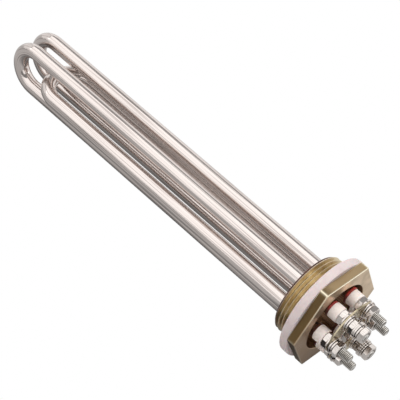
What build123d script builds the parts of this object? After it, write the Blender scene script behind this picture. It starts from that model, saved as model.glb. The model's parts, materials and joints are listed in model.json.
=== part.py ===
from build123d import *
import os
from math import cos, radians, sin

os.makedirs("parts", exist_ok=True)

# Screw plug immersion heater: three bent tubular elements brazed into a threaded plug.
# Millimetres. The plug's axis is X, and +X points into the tank. X = 0 is the sealing
# plane, where the gasket's free face meets the tank boss. +Z is up.

# Plug, in brass. Its round sizes are worked out outwards from the circle of legs.
barrel_wall = 1.723        # between the well and the root of the thread
thread_pitch = 2.309       # eleven turns to the inch
thread_len = 10.3          # from the sealing plane to the plug's end
hex_shoulder = 3.6         # how far the head's flats stand out past the thread
hex_t = 5.2
hex_bevel = 0.4
recess_depth = 10.0        # of the well that the element ends stand in
recess_bevel = 0.4

# Gasket, in rubber
gasket_w = 6.15            # from its bore to its rim
gasket_t = 5.3
gasket_round = 0.7
gasket_clear = 0.2         # round the thread, which it passes over

# Tubular elements
tube_d = 8.5
tube_wall = 0.8
leg_circle_d = 28.6        # circle through the six leg centres
tube_end_below = 0.5       # tube ends stop this far inside the head's face
braze_clear = 0.05         # round each tube in its hole
fill_clear = 0.1           # round the insulating powder, and round the wire coil in it
coil_d = 3.2               # also the thickness of a pin inside the tube
cold_len = 28.0            # unheated length past the sealing plane

reach_a = 230.7            # how far each bend reaches past the sealing plane
reach_b = 229.8
reach_c = 207.7

# Each element: its name, the angles of its two legs round the plug, and its reach.
# Angles run from +Y towards +Z.
elements = [("a", 120, -120, reach_a), ("b", 60, -60, reach_b), ("c", 0, 180, reach_c)]

# Terminals. Heights are counted outwards from the head's face.
stud_d = 5.0
stud_proud = 0.4           # past the outermost nut
stud_bevel = 0.6
seal_d = 11.2
seal_top = 0.9
seal_clear = 0.05
well_margin = 0.8          # between the seals and the wall of the well
insulator_d = 9.1
insulator_t = 5.4
insulator_bevel = 0.5
insulator_bore_clear = 0.15
nut_af = 8.0
nut_t = 3.2
nut_clear = 0.05
nut_turn = 23              # each nut stops this many degrees on from the last
washer_d = 10.0
washer_t = 1.0
washer_clear = 0.15
spring_d = 9.2
spring_t = 1.2
spring_gap = 0.9           # cut in the spring washer
spring_slant = 25          # of that cut, in degrees
link_w = 8.6
link_t = 1.0
links = [("front", 120, 0), ("rear", -180, -60)]
lead_angles = [60, -120]   # the two terminals that take the supply leads
lead_washer_count = 2      # under each lead's spring washer

# Worked out from the sizes above
recess_d = leg_circle_d + seal_d + 2 * well_margin
relief_d = recess_d + 2 * barrel_wall
thread_depth = 0.6403 * thread_pitch
thread_d = relief_d + 2 * thread_depth     # 47.8, the size of a G 1 1/2 pipe thread
hex_af = thread_d + 2 * hex_shoulder
gasket_bore_d = thread_d + 2 * gasket_clear
gasket_d = gasket_bore_d + 2 * gasket_w
tube_r = tube_d / 2
tube_bore_r = tube_r - tube_wall
leg_r = leg_circle_d / 2
coil_r = coil_d / 2
stud_r = stud_d / 2
hex_back = -gasket_t
hex_face = hex_back - hex_t
tube_end = hex_face + tube_end_below
leg_angles = [angle for name, first, last, tip in elements for angle in (first, last)]
upright = (Align.CENTER, Align.CENTER, Align.MIN)

# Heights of the terminal stack
base_nut_z = seal_top + insulator_t
base_washer_z = base_nut_z + nut_t
link_z = base_washer_z + washer_t
clamp_washer_z = link_z + link_t
clamp_spring_z = clamp_washer_z + washer_t
clamp_nut_z = clamp_spring_z + spring_t
lead_washer_z = clamp_nut_z + nut_t
lead_spring_z = lead_washer_z + lead_washer_count * washer_t
lead_nut_z = lead_spring_z + spring_t
stud_top = lead_nut_z + nut_t + stud_proud


def across(x):
    # plane square to the plug's axis, facing the tank
    return Plane(origin=(x, 0, 0), x_dir=(0, 1, 0), z_dir=(1, 0, 0))


def leg_point(x, angle):
    return Vector(x, leg_r * cos(radians(angle)), leg_r * sin(radians(angle)))


def on_leg(x, angle):
    # plane on a leg's axis, facing the tank
    return Plane(origin=leg_point(x, angle), z_dir=(1, 0, 0))


def on_terminal(angle, height):
    # plane on a terminal's axis, facing away from the tank
    out = (0, cos(radians(angle)), sin(radians(angle)))
    return Plane(origin=leg_point(hex_face - height, angle), x_dir=out, z_dir=(-1, 0, 0))


def ring(outer_r, bore_r, height):
    disc = Cylinder(outer_r, height, align=upright)
    return disc - Cylinder(bore_r, height, align=upright)


def screw_plug():
    outline = RegularPolygon(hex_af / 2, 6, major_radius=False)
    head = extrude(across(hex_face) * outline, hex_t)
    head = chamfer(head.edges().filter_by(Axis.X), hex_bevel)
    head = chamfer(head.faces().sort_by(Axis.X)[0].edges(), hex_bevel)
    relief = across(hex_back) * Cylinder(relief_d / 2, gasket_t, align=upright)
    barrel = across(0) * Cylinder(thread_d / 2, thread_len, align=upright)
    barrel = chamfer(barrel.faces().sort_by(Axis.X)[-1].edges(), thread_depth)
    well = across(hex_face) * Cylinder(recess_d / 2, recess_depth, align=upright)
    mouth = across(hex_face) * Cone(
        recess_d / 2 + recess_bevel, recess_d / 2, recess_bevel, align=upright
    )
    plug = head + relief + barrel - well - mouth
    through = thread_len + gasket_t + hex_t
    for angle in leg_angles:
        hole = Cylinder(tube_r + braze_clear, through, align=upright)
        plug -= on_leg(hex_face, angle) * hole
    return plug


def gasket():
    body = across(hex_back) * ring(gasket_d / 2, gasket_bore_d / 2, gasket_t)
    rims = body.edges().filter_by(GeomType.CIRCLE).group_by(SortBy.RADIUS)[-1]
    return fillet(rims, gasket_round)


def hairpin(first, last, tip, start, radius):
    # round bar that runs into the tank, turns back on itself and returns
    a = leg_point(start, first)
    b = leg_point(start, last)
    bend_r = (b - a).length / 2
    reach = Vector(tip - tube_r - bend_r - start, 0, 0)
    crown = (a + b) * 0.5 + reach + Vector(bend_r, 0, 0)
    there = Line(a, a + reach)
    turn = ThreePointArc(a + reach, crown, b + reach)
    back = Line(b + reach, b)
    section = Plane(origin=a, z_dir=(1, 0, 0)) * Circle(radius)
    return sweep(section, path=there + turn + back)


def sheath(first, last, tip):
    skin = hairpin(first, last, tip, tube_end, tube_r)
    return skin - hairpin(first, last, tip, tube_end, tube_bore_r)


def powder_fill(first, last, tip):
    start = tube_end + fill_clear
    packed = hairpin(first, last, tip, start, tube_bore_r - fill_clear)
    return packed - hairpin(first, last, tip, start, coil_r + fill_clear)


def wire_coil(first, last, tip):
    return hairpin(first, last, tip, cold_len, coil_r)


def terminal_pin(angle):
    # stud that carries the nuts, and a thinner shank that runs down to the coil
    stud = Cylinder(stud_r, stud_top - seal_top, align=upright)
    stud = chamfer(stud.faces().sort_by(Axis.Z)[-1].edges(), stud_bevel)
    shank_start = hex_face - seal_top
    shank = Cylinder(coil_r, cold_len - shank_start, align=upright)
    return on_terminal(angle, seal_top) * stud + on_leg(shank_start, angle) * shank


def end_seal(angle):
    bead = ring(seal_d / 2, coil_r + seal_clear, seal_top + tube_end_below)
    return on_terminal(angle, -tube_end_below) * bead


def insulator(angle):
    body = Cylinder(insulator_d / 2, insulator_t, align=upright)
    body = chamfer(body.faces().sort_by(Axis.Z)[-1].edges(), insulator_bevel)
    bore = Cylinder(stud_r + insulator_bore_clear, insulator_t, align=upright)
    return on_terminal(angle, seal_top) * (body - bore)


def nut():
    prism = extrude(RegularPolygon(nut_af / 2, 6, major_radius=False), nut_t)
    return prism - Cylinder(stud_r + nut_clear, nut_t, align=upright)


def washer():
    return ring(washer_d / 2, stud_r + washer_clear, washer_t)


def spring_washer():
    body = ring(spring_d / 2, stud_r + washer_clear, spring_t)
    gap = Rot(X=spring_slant) * Box(spring_d, spring_gap, 3 * spring_t)
    return body - Pos(spring_d / 2, 0, spring_t / 2) * gap


def group(shape, angles, height, turn=0):
    seats = [on_terminal(angle, height) for angle in angles]
    return [seat * Rot(Z=turn * index) * shape for index, seat in enumerate(seats)]


def link_plate(first, last):
    spine = CenterArc((0, 0), leg_r, first, last - first)
    blank = SlotArc(spine, link_w)
    hole = Circle(stud_r + washer_clear)
    for angle in (first, (first + last) / 2, last):
        blank -= Pos(leg_r * cos(radians(angle)), leg_r * sin(radians(angle))) * hole
    return extrude(across(hex_face - link_z - link_t) * blank, link_t)


lead_washers = []
for index in range(lead_washer_count):
    height = lead_washer_z + index * washer_t
    lead_washers += group(washer(), lead_angles, height)

groups = {
    "base_nuts": group(nut(), leg_angles, base_nut_z, nut_turn),
    "base_washers": group(washer(), leg_angles, base_washer_z),
    "clamp_washers": group(washer(), leg_angles, clamp_washer_z),
    "clamp_spring_washers": group(spring_washer(), leg_angles, clamp_spring_z, nut_turn),
    "clamp_nuts": group(nut(), leg_angles, clamp_nut_z, 2 * nut_turn),
    "lead_washers": lead_washers,
    "lead_spring_washers": group(spring_washer(), lead_angles, lead_spring_z, nut_turn),
    "lead_nuts": group(nut(), lead_angles, lead_nut_z, nut_turn),
}

nodes = {"screw_plug": screw_plug(), "gasket": gasket()}

for name, pieces in groups.items():
    nodes[name] = Compound(children=pieces)

for name, first, last, tip in elements:
    nodes["sheath_" + name] = sheath(first, last, tip)
    nodes["powder_fill_" + name] = powder_fill(first, last, tip)
    nodes["wire_coil_" + name] = wire_coil(first, last, tip)

for name, first, last in links:
    nodes["link_plate_" + name] = link_plate(first, last)

for index, angle in enumerate(leg_angles):
    tag = str(index + 1)
    nodes["terminal_pin_" + tag] = terminal_pin(angle)
    nodes["end_seal_" + tag] = end_seal(angle)
    nodes["insulator_" + tag] = insulator(angle)

for name, shape in nodes.items():
    export_step(shape, "parts/" + name + ".step")
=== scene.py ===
import json
import bmesh
import bpy
import numpy as np
from mathutils import Matrix, Vector


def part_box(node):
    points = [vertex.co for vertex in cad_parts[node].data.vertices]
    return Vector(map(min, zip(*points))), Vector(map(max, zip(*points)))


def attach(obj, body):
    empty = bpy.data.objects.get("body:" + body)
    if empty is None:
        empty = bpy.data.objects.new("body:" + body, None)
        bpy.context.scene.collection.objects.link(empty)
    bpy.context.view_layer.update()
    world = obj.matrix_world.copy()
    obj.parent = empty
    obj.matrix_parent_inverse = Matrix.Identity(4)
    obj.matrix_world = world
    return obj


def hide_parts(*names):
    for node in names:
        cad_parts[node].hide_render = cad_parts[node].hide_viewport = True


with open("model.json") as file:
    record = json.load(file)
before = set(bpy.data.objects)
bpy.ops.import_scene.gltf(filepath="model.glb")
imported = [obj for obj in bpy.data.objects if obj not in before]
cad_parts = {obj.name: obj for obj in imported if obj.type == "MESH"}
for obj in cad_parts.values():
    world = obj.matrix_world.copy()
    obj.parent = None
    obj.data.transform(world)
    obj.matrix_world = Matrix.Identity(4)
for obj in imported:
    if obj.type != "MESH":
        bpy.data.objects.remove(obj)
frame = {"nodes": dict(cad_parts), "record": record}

# Screw plug immersion heater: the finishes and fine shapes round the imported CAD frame.
# Metres. The plug's axis is X, the tank side is +X, and x = 0 is the gasket's tank-side face.

mm = 0.001
fullTurn = 2 * np.pi
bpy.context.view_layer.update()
print("frame loaded, nodes:", len(frame["nodes"]))


# numbers and meshes
def span(node):
    low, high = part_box(node)
    return np.array(low), np.array(high)


def roundedLoop(corners, radii, steps):
    # closed profile of (x, radius) corners, in mm: each corner becomes the curve
    # (1-t)^2 start + 2t(1-t) corner + t^2 end, which starts and ends its radius from the corner
    corner = np.array(corners, float)
    radius = np.array(radii, float)[:, None]
    back = np.roll(corner, 1, axis=0) - corner
    ahead = np.roll(corner, -1, axis=0) - corner
    start = corner + radius * back / np.linalg.norm(back, axis=1)[:, None]
    end = corner + radius * ahead / np.linalg.norm(ahead, axis=1)[:, None]
    t = np.linspace(0, 1, steps + 1)[None, :, None]
    curve = (1 - t) ** 2 * start[:, None] + 2 * t * (1 - t) * corner[:, None] + t**2 * end[:, None]
    return curve.reshape(-1, 2) * mm


def withPoints(loop, longest):
    # the same closed profile with extra points, so that no stretch is much longer than asked
    whole = np.vstack([loop, loop[:1]])
    length = np.concatenate([[0], np.cumsum(np.linalg.norm(np.diff(whole, axis=0), axis=1))])
    extra = np.linspace(0, length[-1], int(length[-1] / longest), endpoint=False)
    near = np.abs(extra[:, None] - length[None, :]).min(axis=1) < longest / 3
    at = np.sort(np.concatenate([length[:-1], extra[~near]]))
    return np.stack([np.interp(at, length, whole[:, 0]), np.interp(at, length, whole[:, 1])], axis=1)


def ringSection(x0, x1, bore, rim, radii, steps):
    # section of a ring from x0 to x1, with a radius at each corner from the bore's first one
    return roundedLoop([(x0, bore), (x0, rim), (x1, rim), (x1, bore)], radii, steps)


def turned(x, radius, centre, angles):
    # surface of revolution round a line parallel to X: (x, cy + r cos a, cz + r sin a);
    # radius is one value for each x, or a grid with a value for each x and angle
    radius = np.broadcast_to(radius if np.ndim(radius) == 2 else radius[:, None], (len(x), len(angles)))
    grid = np.empty(radius.shape + (3,))
    grid[..., 0] = np.asarray(x)[:, None]
    grid[..., 1] = centre[0] + radius * np.cos(angles)
    grid[..., 2] = centre[1] + radius * np.sin(angles)
    return grid


def roundAngles(columns):
    return np.linspace(0, fullTurn, columns, endpoint=False)


def hexRadius(angles, halfFlat, cornerRound, turn):
    # radius of a hexagon with rounded corners at each angle: halfFlat / cos from the middle of
    # a flat, and near a corner the far side of a circle that touches both flats
    fromCorner = (angles - turn + np.pi / 6) % (np.pi / 3) - np.pi / 6
    corner = halfFlat / np.cos(np.pi / 6)
    centre = corner - cornerRound / np.sin(np.pi / 3)
    touch = np.arctan2(cornerRound * 0.5, centre + cornerRound * np.cos(np.pi / 6))
    flat = halfFlat / np.cos(np.pi / 6 - np.abs(fromCorner))
    bow = centre * np.cos(fromCorner) + np.sqrt(
        np.maximum(cornerRound**2 - (centre * np.sin(fromCorner)) ** 2, 0)
    )
    return np.where(np.abs(fromCorner) < touch, bow, flat)


def hexAngles(columns, halfFlat, cornerRound, turn):
    # evenly spread angles, and five more round each corner
    corner = halfFlat / np.cos(np.pi / 6)
    reach = np.arctan2(cornerRound * 0.5, corner - cornerRound * 0.3)
    corners = turn + np.arange(6) * np.pi / 3
    close = (corners[:, None] + np.linspace(-1, 1, 5) * reach).ravel() % fullTurn
    even = roundAngles(columns)
    gap = np.abs((even[:, None] - close + np.pi) % fullTurn - np.pi).min(axis=1)
    return np.sort(np.concatenate([even[gap > reach * 0.6], close]))


def threadShare(x, angles, pitch):
    # right-hand thread form from 0 at the root to 1 at the crest: a cosine of the distance
    # along the axis in pitches plus the turn round it, sharpened towards straight flanks
    phase = fullTurn * np.asarray(x)[:, None] / pitch + angles
    return 0.5 + 0.5 * np.arcsin(0.98 * np.cos(phase)) / np.arcsin(0.98)


def solid(grid, ring=False, wearAndPaintedLight=None):
    # one closed shell: columns wrap round, rows wrap round for a ring and are capped otherwise;
    # a per-row level gives each row's brightness, which materials read as rubbed wear, painted
    # highlight and painted shade
    rows, columns = grid.shape[:2]
    row = np.arange(rows if ring else rows - 1)[:, None]
    column = np.arange(columns)[None, :]
    nextRow, nextColumn = (row + 1) % rows, (column + 1) % columns
    quads = np.stack([
        row * columns + column, row * columns + nextColumn,
        nextRow * columns + nextColumn, nextRow * columns + column,
    ], axis=-1).reshape(-1, 4)
    alongSteps = np.linalg.norm(np.roll(grid, -1, axis=0) - grid, axis=2).max(axis=1)
    roundSteps = np.linalg.norm(np.roll(grid, -1, axis=1) - grid, axis=2).max(axis=0)
    u = np.concatenate([[0], np.cumsum(alongSteps)])
    v = np.concatenate([[0], np.cumsum(roundSteps)])
    corners = [(row, column), (row, column + 1), (row + 1, column + 1), (row + 1, column)]
    uv = [np.stack(np.broadcast_arrays(u[r], v[c]), -1) for r, c in corners]
    uv = np.stack(uv, axis=2).reshape(-1, 2)
    points = grid.reshape(-1, 3)
    a, b, c, d = (points[quads[:, k]] for k in range(4))
    volume = (np.cross(a, b) * c).sum() + (np.cross(a, c) * d).sum()
    caps = []
    if not ring:
        for cap in (np.arange(columns), np.arange(columns)[::-1] + (rows - 1) * columns):
            caps.append(cap)
            first, rest = points[cap[0]], points[cap[1:]]
            volume -= (np.cross(first, rest[:-1]) * rest[1:]).sum()
    if volume < 0:
        quads = quads[:, ::-1]
        uv = uv.reshape(-1, 4, 2)[:, ::-1].reshape(-1, 2)
    else:
        caps = [cap[::-1] for cap in caps]
    wornAndPaintedLight = np.repeat(np.zeros(rows) if wearAndPaintedLight is None else wearAndPaintedLight, columns)
    return {"points": points, "quads": quads, "caps": caps, "uv": uv, "wearAndPaintedLight": wornAndPaintedLight}


def makePiece(name, solids, material, nodes, sharpAngle=32):
    points, faces, uv, first = [], [], [], 0
    for part in solids:
        points.append(part["points"])
        faces += (part["quads"] + first).tolist() + [(cap + first).tolist() for cap in part["caps"]]
        uv.append(part["uv"])
        uv += [np.zeros((len(cap), 2)) for cap in part["caps"]]
        first += len(part["points"])
    mesh = bpy.data.meshes.new(name)
    mesh.from_pydata(np.concatenate(points).tolist(), [], faces)
    layer = mesh.uv_layers.new(name="alongAndRound")
    layer.data.foreach_set("uv", np.concatenate(uv).astype(np.float32).ravel())
    # the per-row level: rubbed wear, painted highlight and painted shade, for the materials to read
    wornAndPaintedLight = mesh.attributes.new("wearAndPaintedLight", "FLOAT", "POINT")
    wornAndPaintedLight.data.foreach_set("value", np.concatenate([part["wearAndPaintedLight"] for part in solids]).astype(np.float32))
    finishPiece(name, mesh, material, nodes, sharpAngle)


def finishPiece(name, mesh, material, nodes, sharpAngle):
    mesh.materials.append(material)
    mesh.shade_smooth()
    mesh.set_sharp_from_angle(angle=np.radians(sharpAngle))
    mesh.update()
    piece = bpy.data.objects.new(name, mesh)
    bpy.context.scene.collection.objects.link(piece)
    even = piece.modifiers.new("flat faces stay flat", "WEIGHTED_NORMAL")
    even.keep_sharp = True
    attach(piece, "root")
    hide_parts(*nodes)


# colours and shader nodes
def colour(hexText):
    # sRGB hex to linear RGBA
    srgb = np.array([int(hexText[i:i + 2], 16) for i in (1, 3, 5)]) / 255
    linear = np.where(srgb <= 0.04045, srgb / 12.92, ((srgb + 0.055) / 1.055) ** 2.4)
    return tuple(linear) + (1.0,)


def addNode(material, kind, settings=None, inputs=None):
    # one shader node with its settings; an input is a constant, another node's output, or another
    # node, which gives its first output
    node = material.node_tree.nodes.new("ShaderNode" + kind)
    for name, value in (settings or {}).items():
        setattr(node, name, value)
    for name, value in (inputs or {}).items():
        if isinstance(value, bpy.types.Node):
            value = value.outputs[0]
        if isinstance(value, bpy.types.NodeSocket):
            material.node_tree.links.new(value, node.inputs[name])
        else:
            node.inputs[name].default_value = value
    return node


rgba = {"data_type": "RGBA"}  # a Mix node that mixes colours
smooth = {"interpolation_type": "SMOOTHSTEP"}  # a Map Range node that eases in and out


def startMaterial(name):
    material = bpy.data.materials.new(name)
    material.use_nodes = True
    material.node_tree.nodes.clear()
    return material


def endMaterial(material, shader):
    addNode(material, "OutputMaterial", {}, {"Surface": shader})
    return material


plugFinish = {
    # the turned face: clean, dulled in blotches, and darkened towards one side by painted shade
    "face": "#dcc2a2", "faceDulled": "#c3ac8c", "faceShade": "#9e8061",
    "shadeWay": (0, 0.64, -0.77), "shadeFrom": -15 * mm, "shadeTo": -3 * mm,
    # the flats, from olive to a darker brown along Y: painted shade
    "flatOlive": "#bfa680", "flatShadedBrown": "#6a5639", "flatShadeFrom": 8 * mm, "flatShadeTo": 18 * mm,
    # the thread and the heat stain at its end, the well's flux stain and painted shade, and a rubbed
    # edge with painted highlight
    "thread": "#dccba8", "threadBrown": "#c2ac84", "endStain": "#86675c", "stainFrom": 7.8 * mm,
    "stainTo": 9.6 * mm, "wellStainAndShade": "#b8997a", "burnishedHighlight": "#fff5da",
    # sizes of the marks, and where each surface ends
    "blotch": 9 * mm, "wander": 8 * mm, "turningMark": 0.9 * mm, "markDepth": 0.02 * mm,
    "faceDepth": 0.7 * mm, "threadFrom": -0.1 * mm, "wellRadius": 21.0 * mm, "wellEnd": -0.2 * mm,
    "faceRough": 0.3, "flatRough": 0.46, "threadRough": 0.32, "roughSpread": (-0.05, 0.07),
}


def machinedBrass():
    # brass bar, turned on a lathe and heated when the tubes were brazed in: the turned face is
    # clean and pinkish, with painted shade towards one side; the olive flats darken to brown with
    # painted shade; flux has browned the tank end and the well, which painted shade darkens too;
    # the edges are rubbed bright and carry painted highlight, most where they face up
    look = plugFinish
    material = startMaterial("machinedBrass")
    place = addNode(material, "TexCoord").outputs["Object"]
    axes = addNode(material, "SeparateXYZ", {}, {0: place})
    square = addNode(material, "CombineXYZ", {}, {1: axes.outputs[1], 2: axes.outputs[2]})
    radius = addNode(material, "VectorMath", {"operation": "LENGTH"}, {0: square})
    rings = addNode(material, "Math", {"operation": "DIVIDE"},
                    {0: radius.outputs["Value"], 1: look["turningMark"]})
    marks = addNode(material, "TexNoise", {"noise_dimensions": "1D"},
                    {"W": rings, "Scale": 1.0, "Detail": 3.0, "Roughness": 0.7})
    blotches = addNode(material, "TexNoise", {},
                       {"Vector": place, "Scale": 1 / look["blotch"], "Detail": 5.0, "Roughness": 0.6})
    # the blotches push each boundary about, so that no stain or painted shade ends in a ruled line
    wander = addNode(material, "Math", {"operation": "MULTIPLY_ADD"},
                     {0: blotches.outputs["Fac"], 1: 2 * look["wander"], 2: -look["wander"]})
    pushedY = addNode(material, "Math", {}, {0: axes.outputs[1], 1: wander})
    # painted shade: the turned face darkens towards shadeWay, the side that lies in shade
    downLeft = addNode(material, "VectorMath", {"operation": "DOT_PRODUCT"},
                       {0: place, 1: look["shadeWay"]})
    pushedDown = addNode(material, "Math", {}, {0: downLeft.outputs["Value"], 1: wander})
    dulled = addNode(material, "MapRange", {},
                     {"Value": blotches.outputs["Fac"], "From Min": 0.42, "From Max": 0.62})
    turnedFace = addNode(material, "Mix", rgba,
                         {0: dulled, 6: colour(look["face"]), 7: colour(look["faceDulled"])})
    shade = addNode(material, "MapRange", smooth,
                    {"Value": pushedDown, "From Min": look["shadeFrom"], "From Max": look["shadeTo"]})
    shadedFace = addNode(material, "Mix", rgba,
                         {0: shade, 6: turnedFace.outputs[2], 7: colour(look["faceShade"])})
    # painted shade: the flats darken and brown towards +Y, the side that lies in shade
    flatShade = addNode(material, "MapRange", smooth,
                    {"Value": pushedY, "From Min": look["flatShadeFrom"], "From Max": look["flatShadeTo"]})
    flats = addNode(material, "Mix", rgba,
                    {0: flatShade, 6: colour(look["flatOlive"]), 7: colour(look["flatShadedBrown"])})
    threads = addNode(material, "Mix", rgba,
                      {0: dulled, 6: colour(look["thread"]), 7: colour(look["threadBrown"])})
    faceEnd = span("screw_plug")[0][0] + look["faceDepth"]
    onFace = addNode(material, "Math", {"operation": "LESS_THAN"}, {0: axes, 1: faceEnd})
    head = addNode(material, "Mix", rgba, {0: onFace, 6: flats.outputs[2], 7: shadedFace.outputs[2]})
    pastGasket = addNode(material, "Math", {"operation": "GREATER_THAN"},
                         {0: axes, 1: look["threadFrom"]})
    withThread = addNode(material, "Mix", rgba,
                         {0: pastGasket, 6: head.outputs[2], 7: threads.outputs[2]})
    endHeat = addNode(material, "MapRange", smooth,
                      {"Value": axes, "From Min": look["stainFrom"], "From Max": look["stainTo"]})
    withEnd = addNode(material, "Mix", rgba,
                      {0: endHeat, 6: withThread.outputs[2], 7: colour(look["endStain"])})
    # the well: flux stain, with painted shade for its recess
    inside = addNode(material, "Math", {"operation": "LESS_THAN"},
                     {0: radius.outputs["Value"], 1: look["wellRadius"]})
    before = addNode(material, "Math", {"operation": "LESS_THAN"}, {0: axes, 1: look["wellEnd"]})
    inWell = addNode(material, "Math", {"operation": "MULTIPLY"}, {0: inside, 1: before})
    withWell = addNode(material, "Mix", rgba,
                       {0: inWell, 6: withEnd.outputs[2], 7: colour(look["wellStainAndShade"])})
    # rubbed brightness and painted highlight on the head's edges and the thread's crests
    wearAndPaintedLight = addNode(material, "Attribute", {"attribute_name": "wearAndPaintedLight"})
    wornAndPaintedLight = addNode(material, "Mix", rgba,
                   {0: wearAndPaintedLight.outputs["Fac"], 6: withWell.outputs[2], 7: colour(look["burnishedHighlight"])})
    flatRough = addNode(material, "Mix", {}, {0: onFace, 2: look["flatRough"], 3: look["faceRough"]})
    bodyRough = addNode(material, "Mix", {}, {0: pastGasket, 2: flatRough, 3: look["threadRough"]})
    rough = addNode(material, "MapRange", {},
                    {"Value": blotches.outputs["Fac"], "From Min": 0.3, "From Max": 0.7,
                     "To Min": look["roughSpread"][0], "To Max": look["roughSpread"][1]})
    roughness = addNode(material, "Math", {}, {0: bodyRough, 1: rough})
    bump = addNode(material, "Bump", {},
                   {"Height": marks.outputs["Fac"], "Strength": 0.2, "Distance": look["markDepth"]})
    shader = addNode(material, "BsdfPrincipled", {},
                     {"Base Color": wornAndPaintedLight.outputs[2], "Metallic": 1.0, "Roughness": roughness,
                      "Normal": bump})
    return endMaterial(material, shader)


tubeFinish = {
    "steel": "#e6dcd7", "darkLine": "#968b86", "drawLine": 0.5 * mm, "lineLength": 70 * mm,
    "lineDepth": 0.03 * mm, "roughness": (0.07, 0.22),
}


def drawnStainless():
    # stainless tube, cold drawn and polished: bright, with faint lines along its length; the real
    # lines are finer than a pixel of the render, so they are drawn about half a millimetre wide
    look = tubeFinish
    material = startMaterial("drawnStainless")
    along = addNode(material, "UVMap", {"uv_map": "alongAndRound"})
    stretched = addNode(material, "Mapping", {},
                        {"Vector": along, "Scale": (1 / look["lineLength"], 1 / look["drawLine"], 1)})
    lines = addNode(material, "TexNoise", {"noise_dimensions": "2D"},
                    {"Vector": stretched, "Scale": 1.0, "Detail": 1.5, "Roughness": 0.5})
    tone = addNode(material, "MapRange", {},
                   {"Value": lines.outputs["Fac"], "From Min": 0.5, "From Max": 0.8})
    steel = addNode(material, "Mix", rgba,
                    {0: tone, 6: colour(look["steel"]), 7: colour(look["darkLine"])})
    rough = addNode(material, "MapRange", {},
                    {"Value": lines.outputs["Fac"], "To Min": look["roughness"][0],
                     "To Max": look["roughness"][1]})
    bump = addNode(material, "Bump", {},
                   {"Height": lines.outputs["Fac"], "Strength": 0.45, "Distance": look["lineDepth"]})
    shader = addNode(material, "BsdfPrincipled", {},
                     {"Base Color": steel.outputs[2], "Metallic": 1.0, "Roughness": rough,
                      "Normal": bump})
    return endMaterial(material, shader)


metalGrain = {"length": 3 * mm, "width": 0.35 * mm, "depth": 0.02 * mm, "darkest": 0.78}


def workedMetal(name, tint, roughness, grooveShade=None):
    # drawn, stamped, rolled or melted metal: one tint with fine lines along X; a painted shade
    # colour shows where the per-row level is low
    material = startMaterial(name)
    across = 1 / metalGrain["width"]
    place = addNode(material, "TexCoord").outputs["Object"]
    stretched = addNode(material, "Mapping", {},
                        {"Vector": place, "Scale": (1 / metalGrain["length"], across, across)})
    lines = addNode(material, "TexNoise", {},
                    {"Vector": stretched, "Scale": 1.0, "Detail": 2.0, "Roughness": 0.6})
    shade = addNode(material, "MapRange", {},
                    {"Value": lines.outputs["Fac"], "From Min": 0.35, "From Max": 0.7, "To Min": 1.0,
                     "To Max": metalGrain["darkest"]})
    tinted = addNode(material, "Mix", {"data_type": "RGBA", "blend_type": "MULTIPLY"},
                     {0: 1.0, 6: colour(tint), 7: shade})
    if grooveShade:
        crest = addNode(material, "Attribute", {"attribute_name": "wearAndPaintedLight"})
        tinted = addNode(material, "Mix", rgba,
                         {0: crest.outputs["Fac"], 6: colour(grooveShade), 7: tinted.outputs[2]})
    bump = addNode(material, "Bump", {},
                   {"Height": lines.outputs["Fac"], "Strength": 0.3, "Distance": metalGrain["depth"]})
    shader = addNode(material, "BsdfPrincipled", {},
                     {"Base Color": tinted.outputs[2], "Metallic": 1.0, "Roughness": roughness,
                      "Normal": bump})
    return endMaterial(material, shader)


def matteSolid(name, tint, spot, grain, roughness, bumpDepth, ior=1.5, glow=0.0, brownShade=None):
    # a moulded or pressed non-metal: one colour with faint spots of a second, and a fine grain;
    # a painted shade colour shows where the per-row level is low
    material = startMaterial(name)
    place = addNode(material, "TexCoord").outputs["Object"]
    spots = addNode(material, "TexNoise", {},
                    {"Vector": place, "Scale": 1 / grain, "Detail": 4.0, "Roughness": 0.6})
    share = addNode(material, "MapRange", {},
                    {"Value": spots.outputs["Fac"], "From Min": 0.45, "From Max": 0.75})
    paint = addNode(material, "Mix", rgba, {0: share, 6: colour(tint), 7: colour(spot)})
    if brownShade:
        litShare = addNode(material, "Attribute", {"attribute_name": "wearAndPaintedLight"})
        paint = addNode(material, "Mix", rgba,
                        {0: litShare.outputs["Fac"], 6: colour(brownShade), 7: paint.outputs[2]})
    bump = addNode(material, "Bump", {},
                   {"Height": spots.outputs["Fac"], "Strength": 0.4, "Distance": bumpDepth})
    shader = addNode(material, "BsdfPrincipled", {},
                     {"Base Color": paint.outputs[2], "Roughness": roughness, "IOR": ior,
                      "Subsurface Weight": glow, "Subsurface Scale": 1.5 * mm, "Normal": bump})
    return endMaterial(material, shader)


brass = machinedBrass()
tubeSteel = drawnStainless()
# nickel-plated steel, drawn hexagon bar and stamped rings: bright, duller on its turned ends,
# with painted shade in the bores and between stacked parts
nickelPlate = workedMetal("nickelPlatedSteel", "#e9e1db", 0.13, "#8a807a")
# steel with a rolled thread: silvery crests, and roots darkened by painted shade
studSteel = workedMetal("rolledThreadSteel", "#f4f0ea", 0.22, "#837d75")
# brass sheet with a thin wash of nickel: pale olive and satin
linkMetal = workedMetal("nickelWashedBrassSheet", "#cabda2", 0.24)
# resistance wire, oxidised by its own heat: dull grey-brown
heatingWire = workedMetal("oxidisedResistanceWire", "#7b736b", 0.45)
# brazing alloy, melted in a ring: smooth and slightly yellow
brazeAlloy = workedMetal("meltedBrazingAlloy", "#cdbb8e", 0.25)
# moulded silicone gasket: smooth and white with a violet cast
whiteSilicone = matteSolid("mouldedWhiteSilicone", "#cbbdbb", "#c3b4b3", 4 * mm, 0.42, 0.02 * mm,
                           1.43, 0.15)
# steatite, dry pressed and fired without glaze: off-white with a faint grain
steatite = matteSolid("firedSteatite", "#f8ede6", "#ecded5", 1.2 * mm, 0.5, 0.02 * mm, 1.55, 0.05)
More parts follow.
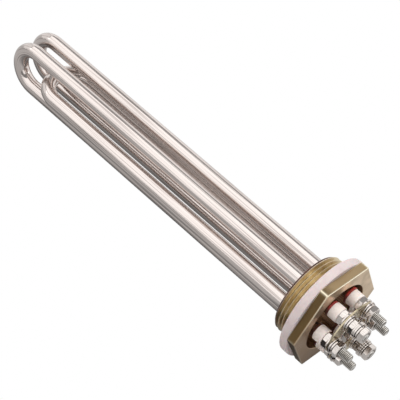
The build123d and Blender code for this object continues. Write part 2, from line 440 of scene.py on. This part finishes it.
# silicone sealing compound, brushed on: red and a little glossy, brown with painted shade
# where it lies in shade at most tubes
redSilicone = matteSolid("brushedRedSilicone", "#a3342a", "#84241f", 1.5 * mm, 0.35, 0.06 * mm,
                         1.43, 0.1, "#4a3226")
# magnesium oxide powder, pressed hard inside the tubes: chalky
magnesia = matteSolid("pressedMagnesia", "#e6e3db", "#d2cec4", 0.8 * mm, 0.9, 0.05 * mm)
print("materials made:", len(bpy.data.materials))

# the screw plug
plugShape = {
    "columns": 288, "cornerRound": 0.7, "edgeRound": 0.4, "mouthRound": 0.45,
    "wellRadius": 20.7, "wellFloor": -0.5, "wellBevel": 0.25, "reliefRadius": 22.42,
    "reliefEnd": 0.1, "threadStart": 0.15, "threadFade": 0.8, "pitch": 2.309, "rowsPerPitch": 30,
    # how bright the well's mouth, the crests and the back edge are, rubbed and with painted
    # highlight, and how much painted highlight the edges of the head that face down and up get
    "mouthWear": 0.2, "crestWear": 0.65, "backWear": 0.5, "upwardHighlight": (0.3, 1.0),
}


def screwPlug():
    shape = plugShape
    low, high = span("screw_plug")
    halfFlat, faceX, endX = high[2] / mm, low[0] / mm, high[0] / mm
    backX = span("gasket")[0][0] / mm
    mount = [m for m in frame["record"]["mounts"] if m["name"] == "thread"][0]
    crest, root = mount["dims"]["r_mm"], shape["reliefRadius"]
    turn = 0.0  # corners lie along +Y and -Y, so that a flat faces up
    angles = hexAngles(shape["columns"], halfFlat, shape["cornerRound"], turn)
    hexagon = hexRadius(angles, halfFlat, shape["cornerRound"], turn) / halfFlat
    quarter = np.linspace(0, np.pi / 2, 6)
    # well floor, well wall and rounded mouth, all round
    well, floor, bevel = shape["wellRadius"], shape["wellFloor"], shape["wellBevel"]
    mouth = shape["mouthRound"]
    # the bright edges are rubbed wear with painted highlight
    guard = 0.08  # rows this far outside a worn edge end its brightness
    roundX = np.concatenate([
        [floor, floor - bevel, faceX + mouth + guard],
        faceX + mouth * (1 - np.sin(quarter)), [faceX],
    ])
    roundR = np.concatenate([
        [well - bevel, well, well], well + mouth * (1 - np.cos(quarter)), [well + mouth + guard],
    ])
    mouthWear = np.concatenate([[0, 0, 0], np.full(6, shape["mouthWear"]), [0]])
    # head: the face's rounded edge, the flats and the back edge, all hexagonal
    edge = shape["edgeRound"]
    headX = np.concatenate([
        [faceX], faceX + edge * (1 - np.cos(quarter)), [faceX + edge + guard, backX - edge - guard],
        backX - edge * (1 - np.sin(quarter)),
    ])
    inwards = np.concatenate([[1 + guard], 1 - np.sin(quarter), [0, 0], 1 - np.cos(quarter)])
    headR = halfFlat - edge * inwards
    headWear = np.concatenate([[0], np.full(6, 1.0), [0, 0], np.full(6, shape["backWear"])])
    # relief behind the head, then the thread, which fades in and is cut by the end chamfer
    threadRows = int(endX / shape["pitch"] * shape["rowsPerPitch"])
    threadX = np.linspace(shape["threadStart"], endX, threadRows)
    fadeIn = np.clip(threadX / shape["threadFade"], 0, 1)[:, None]
    form = root + (crest - root) * threadShare(threadX, angles, shape["pitch"]) * fadeIn
    cone = crest - np.maximum(threadX - (endX - (crest - root)), 0)
    form = np.minimum(form, cone[:, None])
    reliefX, reliefR = np.array([backX, shape["reliefEnd"]]), np.array([root, root])
    rows = [
        np.repeat(roundR[:, None], len(angles), axis=1),
        headR[:, None] * hexagon,
        np.repeat(reliefR[:, None], len(angles), axis=1),
        form,
    ]
    x = np.concatenate([roundX, headX, reliefX, threadX]) * mm
    radius = np.concatenate(rows)
    # the thread's crests are rubbed bright and carry painted highlight, as the corners of the head do
    crestWear = np.clip((form - (crest - 0.35)) / 0.3, 0, 1) * shape["crestWear"]
    wearAndPaintedLight = np.repeat(np.concatenate([mouthWear, headWear, [0, 0]])[:, None], len(angles), axis=1)
    # the corners of the flats are rubbed bright and carry painted highlight
    nearCorner = np.clip((hexagon * np.cos(np.pi / 6) - 0.985) / 0.012, 0, 1)
    inWell = np.zeros(len(roundX), bool)
    onFlats = np.concatenate([inWell, headX > faceX + edge / 2, [False, False]])[:, None]
    wearAndPaintedLight = np.maximum(wearAndPaintedLight, onFlats * nearCorner[None, :])
    # painted highlight: edges that face up, towards the light, are the brightest
    least, most = shape["upwardHighlight"]
    wearAndPaintedLight = wearAndPaintedLight * (least + (most - least) * np.clip(np.sin(angles) * 1.6 - 0.3, 0, 1))[None, :]
    grid = turned(x, radius * mm, (0, 0), angles)
    part = solid(grid)
    part["wearAndPaintedLight"] = np.concatenate([wearAndPaintedLight, crestWear]).ravel()
    makePiece("screwPlugBody", [part], brass, ["screw_plug"])


screwPlug()

gasketShape = {
    "columns": 192, "bore": 24.1, "boreRound": 0.2, "rimRound": 0.75, "bulge": 0.12, "bulgeRound": 1.6,
}


def gasketRing():
    shape = gasketShape
    low, high = span("gasket")
    x0, x1, rim = low[0] / mm, high[0] / mm, high[1] / mm
    bore, side = shape["bore"], rim - shape["bulge"]
    boreRound, rimRound = shape["boreRound"], shape["rimRound"]
    loop = roundedLoop(
        [(x0, bore), (x1, bore), (x1, side), ((x0 + x1) / 2, rim), (x0, side)],
        [boreRound, boreRound, rimRound, shape["bulgeRound"], rimRound], 6,
    )
    grid = turned(loop[:, 0], loop[:, 1], (0, 0), roundAngles(shape["columns"]))
    makePiece("siliconeGasket", [solid(grid, ring=True)], whiteSilicone, ["gasket"])


gasketRing()
print("plug and gasket made")

# the three bent tubes
tubeShape = {"wall": 0.8, "columns": 64, "bendRows": 72, "legRows": 24}


def hairpin(node, inset):
    # tube surface along a leg, a half circle and the other leg: at each point of that path, the
    # circle centre + r (cos a across the path, in its plane, + sin a square to its plane)
    low, high = span(node)
    size = high - low
    wide, thin = (1, 2) if size[1] > size[2] else (2, 1)
    tubeRadius = size[thin] / 2
    bend = size[wide] / 2 - tubeRadius
    middle = (low + high) / 2
    turnX = high[0] - tubeRadius - bend
    straight = np.linspace(low[0], turnX, tubeShape["legRows"], endpoint=False)
    swing = np.linspace(0, np.pi, tubeShape["bendRows"] + 1)
    one, none = np.ones(len(straight)), np.zeros(len(straight))
    normalX = np.concatenate([none, np.sin(swing), none])
    normalW = np.concatenate([one, np.cos(swing), -one])
    pathX = np.concatenate([straight, turnX + bend * np.sin(swing), straight[::-1]])
    pathW = bend * normalW
    angles = roundAngles(tubeShape["columns"])
    radius = tubeRadius - inset
    grid = np.empty((len(pathX), len(angles), 3))
    grid[..., 0] = pathX[:, None] + radius * np.cos(angles) * normalX[:, None]
    grid[..., wide] = middle[wide] + pathW[:, None] + radius * np.cos(angles) * normalW[:, None]
    grid[..., thin] = middle[thin] + radius * np.sin(angles)
    return grid


def elementSheath(letter):
    node = "sheath_" + letter
    skin = hairpin(node, 0)
    bore = hairpin(node, tubeShape["wall"] * mm)
    grid = np.concatenate([skin, bore[::-1]])
    makePiece("elementSheath_" + letter, [solid(grid, ring=True)], tubeSteel, [node], 40)


for letter in "abc":
    elementSheath(letter)
print("element sheaths made")

# braze, seals, insulators and studs
terminals = []
terminalCount = sum(node.startswith("insulator_") for node in frame["nodes"])
for number in range(1, terminalCount + 1):
    low, high = span(f"insulator_{number}")
    terminals.append({
        "number": number, "centre": tuple((low[1:] + high[1:]) / 2), "low": low, "high": high,
        "out": np.arctan2(low[2] + high[2], low[1] + high[1]),
    })


def halfHeight(node):
    low, high = span(node)
    return (high[2] - low[2]) / 2 / mm


tubeRadius = halfHeight("sheath_c")
studRadius = halfHeight("terminal_pin_1")
brazeShape = {"columns": 64, "rows": 9, "height": 1.1, "spread": 1.3, "foot": 0.3, "bite": 0.2}


def brazeFillets():
    # concave skirt round each tube at the plug's tank end, a little wider on one side than the
    # other: spread times (1 + 0.12 cos(a + place) + 0.06 cos(3a))
    shape = brazeShape
    endX = span("screw_plug")[1][0] / mm
    angles = roundAngles(shape["columns"])
    rings = []
    for terminal in terminals:
        t = np.linspace(0, 1, shape["rows"])
        wobble = 1 + 0.12 * np.cos(angles + terminal["number"]) + 0.06 * np.cos(3 * angles)
        footX = endX - shape["foot"]
        x = np.concatenate([endX + shape["height"] * (1 - t) ** 2.2, [footX, footX]])
        spread = np.concatenate([shape["spread"] * t, [shape["spread"], -shape["bite"]]])[:, None]
        radius = tubeRadius - 0.02 + np.where(spread > 0, spread * wobble, spread)
        rings.append(solid(turned(x * mm, radius * mm, terminal["centre"], angles), ring=True))
    makePiece("brazeFillets", rings, brazeAlloy, [])


brazeFillets()

sealShape = {
    "columns": 96, "pinRadius": 1.7, "foot": 4.4, "rounds": [0.1, 0.03, 0.4, 0.4, 0.1],
    "unevenness": 0.06, "evenRadius": 3.5,
    # at each terminal in turn: the rim, its distance from the insulator, and how much of the bead
    # shows lit red rather than painted-shade brown, all round and along its top
    "radius": [5.5, 4.5, 4.75, 4.5, 4.4, 4.5], "rimDrop": [0.1, 0.1, 0.9, 0.1, 0.3, 0.1],
    "litRed": [0.3, 0.1, 0.15, 0.1, 0.05, 0.1], "litRedTop": [1.0, 0.1, 1.0, 0.1, 0.1, 0.1],
}


def endSeal(terminal):
    # bead of compound squeezed out between a tube's mouth and its insulator: its rim draws in to
    # radius times (1 - unevenness (1 + cos(2a + place) / 2 + cos(5a) / 2))
    shape = sealShape
    number = terminal["number"]
    low, high = span(f"end_seal_{number}")
    x0, x1 = low[0] / mm, high[0] / mm
    rim = min(shape["radius"][number - 1], (high[1] - low[1]) / 2 / mm - 0.05)
    angles = roundAngles(shape["columns"])
    pin, rimX, even = shape["pinRadius"], x0 + shape["rimDrop"][number - 1], shape["evenRadius"]
    loop = roundedLoop(
        [(x0, pin), (x0, shape["foot"]), (rimX, rim), (x1, rim), (x1, pin)], shape["rounds"], 5
    ) / mm
    uneven = 1 - shape["unevenness"] * (1 + 0.5 * np.cos(2 * angles + number) + 0.5 * np.cos(5 * angles))
    share = np.clip((loop[:, 1] - even) / (rim - even), 0, 1)[:, None]
    radius = loop[:, 1][:, None] * (1 - share + share * uneven)
    grid = turned(loop[:, 0] * mm, radius * mm, terminal["centre"], angles)
    part = solid(grid, ring=True)
    # painted light: the bead shows red where it is lit, most of all along its top, and painted-shade
    # brown elsewhere
    upward = np.broadcast_to(np.clip((np.sin(angles) - 0.3) / 0.4, 0, 1), radius.shape)
    part["wearAndPaintedLight"] = np.maximum(upward * shape["litRedTop"][number - 1], shape["litRed"][number - 1]).ravel()
    makePiece(f"endSeal_{number}", [part], redSilicone, [f"end_seal_{number}"])


insulatorShape = {
    "columns": 96, "boreClear": 0.15, "topRound": 0.5, "footRound": 0.35, "boreRound": 0.2,
}


def insulatorSleeve(terminal):
    shape = insulatorShape
    number, low, high = terminal["number"], terminal["low"], terminal["high"]
    rim, bore = (high[1] - low[1]) / 2 / mm, studRadius + shape["boreClear"]
    radii = [shape["boreRound"], shape["topRound"], shape["footRound"], shape["boreRound"]]
    loop = ringSection(low[0] / mm, high[0] / mm, bore, rim, radii, 6)
    grid = turned(loop[:, 0], loop[:, 1], terminal["centre"], roundAngles(shape["columns"]))
    part = solid(grid, ring=True)
    makePiece(f"insulator_body_{number}", [part], steatite, [f"insulator_{number}"])


studShape = {
    "columns": 48, "pitch": 0.8, "depth": 0.42, "rowsPerPitch": 14, "threadEnd": 4.5,
    "nose": 1.3, "noseFlat": 0.7, "neckIn": 0.1, "shank": 1.6, "shankBevel": 0.2,
}


def terminalStud(terminal):
    # threaded stud with a rounded nose, then the plain shank that runs down to the coil
    shape = studShape
    number = terminal["number"]
    low, high = span(f"terminal_pin_{number}")
    tip, shankStart, end = low[0] / mm, span(f"end_seal_{number}")[0][0] / mm, high[0] / mm
    crest = (high[1] - low[1]) / 2 / mm
    angles = roundAngles(shape["columns"])
    threaded = shankStart - shape["threadEnd"] - tip
    x = np.linspace(0, threaded, int(threaded / shape["pitch"] * shape["rowsPerPitch"]))
    # the tip is a flattened dome: its radius is flat + (crest - flat) times a quarter circle
    dome = np.sqrt(1 - np.clip(1 - x / shape["nose"], 0, 1) ** 2)
    nose = shape["noseFlat"] + (crest - shape["noseFlat"]) * dome
    form = crest - shape["depth"] * (1 - threadShare(x, angles + number, shape["pitch"]))
    # painted shade: the thread's roots are darker than its crests, as shade gathers in them
    unshaded = np.clip(1.5 * (form - crest + shape["depth"]) / shape["depth"] - 0.25, 0, 1)
    form = np.minimum(form, nose[:, None])
    neck, whole, shank = shankStart - tip, end - tip, shape["shank"]
    neckIn, bevel = shape["neckIn"], shape["shankBevel"]
    plainX = np.array([threaded + neckIn, neck - neckIn, neck, whole - bevel, whole])
    plainR = np.array([crest - neckIn, crest - neckIn, shank, shank, shank - bevel])
    radius = np.concatenate([form, np.repeat(plainR[:, None], len(angles), axis=1)])
    grid = turned((np.concatenate([x, plainX]) + tip) * mm, radius * mm, terminal["centre"], angles)
    part = solid(grid)
    part["wearAndPaintedLight"] = np.concatenate([unshaded, np.ones((len(plainX), len(angles)))]).ravel()
    makePiece(f"terminalStud_{number}", [part], studSteel, [f"terminal_pin_{number}"], 40)


for terminal in terminals:
    endSeal(terminal)
    insulatorSleeve(terminal)
    terminalStud(terminal)
print("seals, insulators and studs made")

# nuts and washers
stackShape = {
    "nutFlat": 8.0, "nutColumns": 96, "nutTurn": 23, "cornerRound": 0.15, "nutBite": 0.1,
    "countersink": 0.4, "nutShoulder": 0.94, "nutStep": 0.14, "nutEndDulledAndShaded": 0.55,
    "washerRadius": 5.0, "washerClear": 0.15, "washerRound": 0.2, "washerColumns": 96,
    "washerFaceShaded": 0.5,
    "springRadius": 4.6, "springRound": 0.15, "springOpen": 7, "springLift": 0.3, "springRows": 80,
    # the terminals that take a supply lead
    "leadTerminals": (2, 3),
}


def hexNut(x0, x1, centre, turn):
    # a turned blank with 30-degree chamfers, cut by the hexagon: the smaller of the two radii
    shape = stackShape
    halfFlat = shape["nutFlat"] / 2
    corner = halfFlat / np.cos(np.pi / 6)
    shoulder = halfFlat * shape["nutShoulder"]
    rise = (corner - shoulder) * np.tan(np.pi / 6)
    bore, sink = studRadius - shape["nutBite"], shape["countersink"]
    loop = roundedLoop(
        [(x0, bore + sink), (x0, shoulder), (x0 + rise, corner), (x1 - rise, corner), (x1, shoulder),
         (x1, bore + sink), (x1 - sink, bore), (x0 + sink, bore)],
        [0.04, 0.06, 0.04, 0.04, 0.06, 0.04, 0.04, 0.04], 2,
    )
    loop = withPoints(loop, shape["nutStep"] * mm)
    angles = hexAngles(shape["nutColumns"], halfFlat, shape["cornerRound"], turn)
    hexagon = hexRadius(angles, halfFlat, shape["cornerRound"], turn) * mm
    # the flats are bright, the turned ends duller and darkened by painted shade where parts stack,
    # and the bore darkened by painted shade
    onEnd = (loop[:, 0] < (x0 + 0.03) * mm) | (loop[:, 0] > (x1 - 0.03) * mm)
    inBore = loop[:, 1] < (bore + sink + 0.05) * mm
    unshaded = np.where(inBore, 0.0, np.where(onEnd, shape["nutEndDulledAndShaded"], 1.0))
    grid = turned(loop[:, 0], np.minimum(loop[:, 1][:, None], hexagon), centre, angles)
    return solid(grid, ring=True, wearAndPaintedLight=unshaded)


def flatWasher(x0, x1, centre, turn):
    # stamped ring, bright at its rim, its faces darkened by painted shade between stacked parts;
    # it looks the same at every turn
    shape = stackShape
    bore, rim = studRadius + shape["washerClear"], shape["washerRadius"]
    loop = ringSection(x0, x1, bore, rim, [shape["washerRound"]] * 4, 4)
    unshaded = np.where(loop[:, 1] > (rim - 0.3) * mm, 1.0, shape["washerFaceShaded"])
    grid = turned(loop[:, 0], loop[:, 1], centre, roundAngles(shape["washerColumns"]))
    return solid(grid, ring=True, wearAndPaintedLight=unshaded)


def springWasher(x0, x1, centre, turn):
    # bar of rounded square section wound once round the stud: at angle a its section lies at
    # (x + lift a / turn, cy + r cos a, cz + r sin a); its two ends stay a little apart
    shape = stackShape
    lift, bore, rim = shape["springLift"], studRadius + shape["washerClear"], shape["springRadius"]
    section = ringSection(x0 + lift, x1, bore, rim, [shape["springRound"]] * 4, 3)
    halfGap = np.radians(shape["springOpen"])
    wound = np.linspace(halfGap, fullTurn - halfGap, shape["springRows"])
    grid = np.empty((len(wound), len(section), 3))
    grid[..., 0] = section[:, 0] - lift * mm * (wound / fullTurn)[:, None]
    grid[..., 1] = centre[0] + section[:, 1] * np.cos(wound + turn)[:, None]
    grid[..., 2] = centre[1] + section[:, 1] * np.sin(wound + turn)[:, None]
    return solid(grid, wearAndPaintedLight=np.ones(len(wound)))


def turnOf(terminal, stage):
    # the CAD's hexagons stand square to the terminal's own radius, each turned on from the last
    return terminal["out"] + np.radians(stackShape["nutTurn"] * (terminal["number"] - 1) * stage)


def stackRow(node, name, makeOne, holders, stage, copies):
    low, high = span(node)
    x0, x1 = low[0] / mm, high[0] / mm
    step = (x1 - x0) / copies
    parts = [
        makeOne(x0 + step * k, x0 + step * (k + 1), t["centre"], turnOf(t, stage))
        for t in holders for k in range(copies)
    ]
    makePiece(name, parts, nickelPlate, [node])


leads = [t for t in terminals if t["number"] in stackShape["leadTerminals"]]
for row in [
    # CAD node, piece, what makes it, terminals, stages of turning, pieces on each terminal
    ("base_nuts", "baseNuts", hexNut, terminals, 1, 1),
    ("base_washers", "baseWashers", flatWasher, terminals, 0, 1),
    ("clamp_washers", "clampWashers", flatWasher, terminals, 0, 1),
    ("clamp_spring_washers", "clampSprings", springWasher, terminals, 1, 1),
    ("clamp_nuts", "clampNuts", hexNut, terminals, 2, 1),
    ("lead_washers", "leadWashers", flatWasher, leads, 0, 2),
    ("lead_spring_washers", "leadSprings", springWasher, leads, 1, 1),
    ("lead_nuts", "leadNuts", hexNut, leads, 1, 1),
]:
    stackRow(*row)
print("nuts and washers made")

# link plates
linkShape = {
    "width": 8.6, "edgeRound": 0.14, "holeClear": 0.15, "arcSteps": 48, "endSteps": 24,
    "holeSteps": 48,
    # angles of each plate's first and last terminal, from +Y towards +Z
    "ends": {"front": (120, 0), "rear": (-180, -60)},
}


def arc(centre, radius, first, last, steps):
    # points centre + radius (cos a, sin a) for angles from first to last, in degrees
    a = np.radians(np.linspace(first, last, steps))
    return np.stack([centre[0] + radius * np.cos(a), centre[1] + radius * np.sin(a)], axis=1)


def linkPlate(side):
    # flat crescent with round ends and a hole at each of its three terminals: a filled flat curve
    # with a thickness and rounded edges, made a mesh and stood square to X
    shape = linkShape
    node = "link_plate_" + side
    low, high = span(node)
    first, last = shape["ends"][side]
    run = np.hypot(*terminals[0]["centre"]) / mm
    half = shape["width"] / 2
    way = np.sign(last - first)
    edge, holeRadius = shape["edgeRound"] * mm, studRadius + shape["holeClear"]
    (startCentre,), (endCentre,) = arc((0, 0), run, first, first, 1), arc((0, 0), run, last, last, 1)
    outline = np.concatenate([
        arc((0, 0), run + half, first, last, shape["arcSteps"]),
        arc(endCentre, half, last, last + way * 180, shape["endSteps"])[1:-1],
        arc((0, 0), run - half, last, first, shape["arcSteps"]),
        arc(startCentre, half, first + 180, first + 180 + way * 180, shape["endSteps"])[1:-1],
    ])
    holes = [
        arc(arc((0, 0), run, a, a, 1)[0], holeRadius, 0, 360, shape["holeSteps"] + 1)[:-1]
        for a in (first, (first + last) / 2, last)
    ]
    flat = bpy.data.curves.new("linkOutline", "CURVE")
    flat.dimensions, flat.fill_mode = "2D", "BOTH"
    flat.extrude = (high[0] - low[0]) / 2 - edge
    flat.bevel_depth, flat.bevel_resolution, flat.offset = edge, 2, -edge
    for loop in [outline] + holes:
        spline = flat.splines.new("POLY")
        spline.points.add(len(loop) - 1)
        flatPoints = np.column_stack([loop * mm, np.zeros(len(loop)), np.ones(len(loop))])
        spline.points.foreach_set("co", flatPoints.ravel())
        spline.use_cyclic_u = True
    drawn = bpy.data.objects.new("linkOutline", flat)
    bpy.context.scene.collection.objects.link(drawn)
    mesh = bpy.data.meshes.new_from_object(drawn.evaluated_get(bpy.context.evaluated_depsgraph_get()))
    bpy.data.objects.remove(drawn)
    points = np.empty(len(mesh.vertices) * 3)
    mesh.vertices.foreach_get("co", points)
    points = points.reshape(-1, 3)[:, [2, 0, 1]] + ((low[0] + high[0]) / 2, 0, 0)
    mesh.vertices.foreach_set("co", points.ravel())
    merged = bmesh.new()
    merged.from_mesh(mesh)
    bmesh.ops.remove_doubles(merged, verts=merged.verts, dist=0.002 * mm)
    bmesh.ops.recalc_face_normals(merged, faces=merged.faces)
    merged.to_mesh(mesh)
    merged.free()
    mesh.materials.clear()
    finishPiece("linkPlate_" + side, mesh, linkMetal, [node], 40)


for side in ("front", "rear"):
    linkPlate(side)
print("link plates made")

# CAD nodes that stay: the inside of each element
for node, material, slotName in [
    *[("powder_fill_" + letter, magnesia, "magnesia") for letter in "abc"],
    *[("wire_coil_" + letter, heatingWire, "heating_wire") for letter in "abc"],
]:
    kept = frame["nodes"][node]
    kept.data.materials.clear()
    kept.data.materials.append(material)
print("CAD nodes dressed")

# floor, light and camera
studio = {
    "floorZ": -30.26 * mm, "floorSize": 12.0, "floorWhite": "#ffffff", "paper": "#d8d8d8",
    "floorGlossBack": 0.85, "floorGlossFront": 0.5, "fadeFrom": -0.12, "fadeTo": 0.05,
    "worldDim": 0.22, "panelDistance": 1.4,
    # where metal sees the floor shaded, by the head and along the tubes
    "shadeCentre": (-4 * mm, 54 * mm), "shadeReach": (17.6 * mm, 44 * mm), "shadeDepth": 0.93,
    "underMiddle": 122 * mm, "underHalf": 110 * mm, "underReach": (12 * mm, 45 * mm),
    "underDepth": 0.65,
}
lamps = {
    # soft boxes along the object: where each begins and ends round its axis, from +Y towards +Z
    "lowPanel": {"round": (2, 22), "along": (-0.3, 2.3), "radiance": 0.78, "lights": "metal"},
    "frontPanel": {"round": (22, 76), "along": (-0.3, 2.3), "radiance": 1.02},
    "topPanel": {"round": (76, 115), "along": (-1.0, 2.2), "radiance": 1.1},
    "gapPanel": {"round": (115, 140), "along": (-1.0, 2.2), "radiance": 0.13},
    "backPanel": {"round": (140, 181), "along": (-0.8, 2.2), "radiance": 0.75},
    # a lamp above, which metal does not show, and one past each end of the object
    "overhead": {"place": (0.6, -0.13, 1.9), "aim": (0.6, 0, 0), "size": (3.2, 1.7),
                 "radiance": 1.8, "lights": "matte"},
    "bendPanel": {"place": (2.35, 0, 0.6), "aim": (0, 0, 0.6), "size": (2.6, 1.5), "radiance": 0.66},
    "terminalPanel": {"place": (-1.6, 0.2, 0.75), "aim": (0, 0.2, 0.75), "size": (2.6, 1.3),
                      "radiance": 0.8},
    # a small one that only metal shows, in the rounded edges of the head
    "edgePanel": {"place": (-1.45, -1.2, 0.85), "aim": (0, 0, 0), "size": (1.3, 1.0),
                  "radiance": 1.5, "lights": "metal"},
}


def floorMaterial():
    # plain white sweep: pure white to the camera, and to shiny metal bright behind the object,
    # greyer in front of it, where the sweep ends, and dark where the object shades it
    material = startMaterial("whitePaperSweep")
    place = addNode(material, "TexCoord").outputs["Object"]
    axes = addNode(material, "SeparateXYZ", {}, {0: place})
    fade = addNode(material, "MapRange", smooth,
                   {"Value": axes.outputs[1], "From Min": studio["fadeFrom"],
                    "From Max": studio["fadeTo"], "To Min": studio["floorGlossBack"],
                    "To Max": studio["floorGlossFront"]})
    fromHead = addNode(material, "VectorMath", {"operation": "DISTANCE"},
                       {0: place, 1: (*studio["shadeCentre"], studio["floorZ"])})
    shade = addNode(material, "MapRange", smooth,
                    {"Value": fromHead.outputs["Value"], "From Min": studio["shadeReach"][0],
                     "From Max": studio["shadeReach"][1], "To Min": 1 - studio["shadeDepth"],
                     "To Max": 1.0})
    nearHead = addNode(material, "Math", {"operation": "MULTIPLY"}, {0: fade, 1: shade})
    # distance from the strip of floor right under the object
    fromMiddle = addNode(material, "Math", {"operation": "SUBTRACT"},
                         {0: axes, 1: studio["underMiddle"]})
    eitherWay = addNode(material, "Math", {"operation": "ABSOLUTE"}, {0: fromMiddle})
    pastEnd = addNode(material, "Math", {"operation": "SUBTRACT"},
                      {0: eitherWay, 1: studio["underHalf"]})
    beyond = addNode(material, "Math", {"operation": "MAXIMUM"}, {0: pastEnd, 1: 0.0})
    away = addNode(material, "CombineXYZ", {}, {0: beyond, 1: axes.outputs[1]})
    fromStrip = addNode(material, "VectorMath", {"operation": "LENGTH"}, {0: away})
    under = addNode(material, "MapRange", smooth,
                    {"Value": fromStrip.outputs["Value"], "From Min": studio["underReach"][0],
                     "From Max": studio["underReach"][1], "To Min": 1 - studio["underDepth"],
                     "To Max": 1.0})
    shaded = addNode(material, "Math", {"operation": "MULTIPLY"}, {0: nearHead, 1: under})
    ray = addNode(material, "LightPath")
    level = addNode(material, "Mix", {}, {0: ray.outputs["Is Camera Ray"], 2: shaded, 3: 1.0})
    glow = addNode(material, "Emission", {}, {"Color": colour(studio["floorWhite"]), "Strength": level})
    paper = addNode(material, "BsdfDiffuse", {}, {"Color": colour(studio["paper"])})
    direct = addNode(material, "Math", {"operation": "MAXIMUM"},
                     {0: ray.outputs["Is Camera Ray"], 1: ray.outputs["Is Glossy Ray"]})
    shader = addNode(material, "MixShader", {}, {0: direct, 1: paper, 2: glow})
    return endMaterial(material, shader)


def floorPlane():
    half = studio["floorSize"] / 2
    mesh = bpy.data.meshes.new("floor")
    square = [(-half, -half), (half, -half), (half, half), (-half, half)]
    mesh.from_pydata([(x, y, studio["floorZ"]) for x, y in square], [], [(0, 1, 2, 3)])
    mesh.materials.append(floorMaterial())
    floor = bpy.data.objects.new("floor", mesh)
    bpy.context.scene.collection.objects.link(floor)


def aimed(place, target, up):
    # matrix of a camera or lamp that looks at the target, with its own +Y towards up
    back = (Vector(place) - Vector(target)).normalized()
    right = Vector(up).cross(back).normalized()
    turn = Matrix((right, back.cross(right), back)).transposed().to_4x4()
    return Matrix.Translation(Vector(place)) @ turn


def softPanel(name):
    # flat lamp that faces the object: over the given angles round it, or at a given place
    panel, distance = lamps[name], studio["panelDistance"]
    if "round" in panel:
        middle, half = np.radians(np.mean(panel["round"])), np.radians(np.ptp(panel["round"]) / 2)
        across, above = distance * np.cos(middle), distance * np.sin(middle)
        centre = np.array([np.mean(panel["along"]), across, above])
        aim, size = (centre[0], 0, 0), (np.ptp(panel["along"]), 2 * distance * np.tan(half))
    else:
        centre, aim, size = np.array(panel["place"]), panel["aim"], panel["size"]
    up = np.cross(centre - aim, (1, 0, 0) if abs(centre[0] - aim[0]) < 0.1 else (0, 1, 0))
    lamp = bpy.data.lights.new(name, "AREA")
    lamp.shape = "RECTANGLE"
    lamp.size, lamp.size_y = size
    lamp.energy = panel["radiance"] * np.pi * lamp.size * lamp.size_y
    holder = bpy.data.objects.new(name, lamp)
    bpy.context.scene.collection.objects.link(holder)
    holder.matrix_world = aimed(centre, aim, up)
    holder.visible_camera = False
    holder.visible_glossy = panel.get("lights") != "matte"
    holder.visible_diffuse = panel.get("lights") != "metal"


def worldLight():
    world = bpy.data.worlds.new("studioRoom")
    bpy.context.scene.world = world
    world.use_nodes = True
    world.node_tree.nodes.clear()
    ray = addNode(world, "LightPath")
    level = addNode(world, "Mix", {}, {0: ray.outputs["Is Camera Ray"], 2: studio["worldDim"], 3: 1.0})
    glow = addNode(world, "Background", {}, {"Color": colour("#ffffff"), "Strength": level})
    addNode(world, "OutputWorld", {}, {"Surface": glow})


floorPlane()
worldLight()
for name in lamps:
    softPanel(name)

# fitted to the outlines in the photo
cameraSetting = {
    "place": (-256.385 * mm, 517.577 * mm, 626.024 * mm), "aim": (75.7 * mm, 19.0 * mm, 23.0 * mm),
    "up": (0.602560, -0.419745, 0.678775), "lens": 149.04,
}


def photoCamera():
    data = bpy.data.cameras.new("photoCamera")
    data.lens = cameraSetting["lens"]
    data.sensor_width = 36
    data.clip_start, data.clip_end = 0.01, 50
    camera = bpy.data.objects.new("photoCamera", data)
    bpy.context.scene.collection.objects.link(camera)
    camera.matrix_world = aimed(cameraSetting["place"], cameraSetting["aim"], cameraSetting["up"])
    bpy.context.scene.camera = camera


photoCamera()
bpy.context.scene.view_settings.view_transform = "Standard"
print("floor, light and camera set")
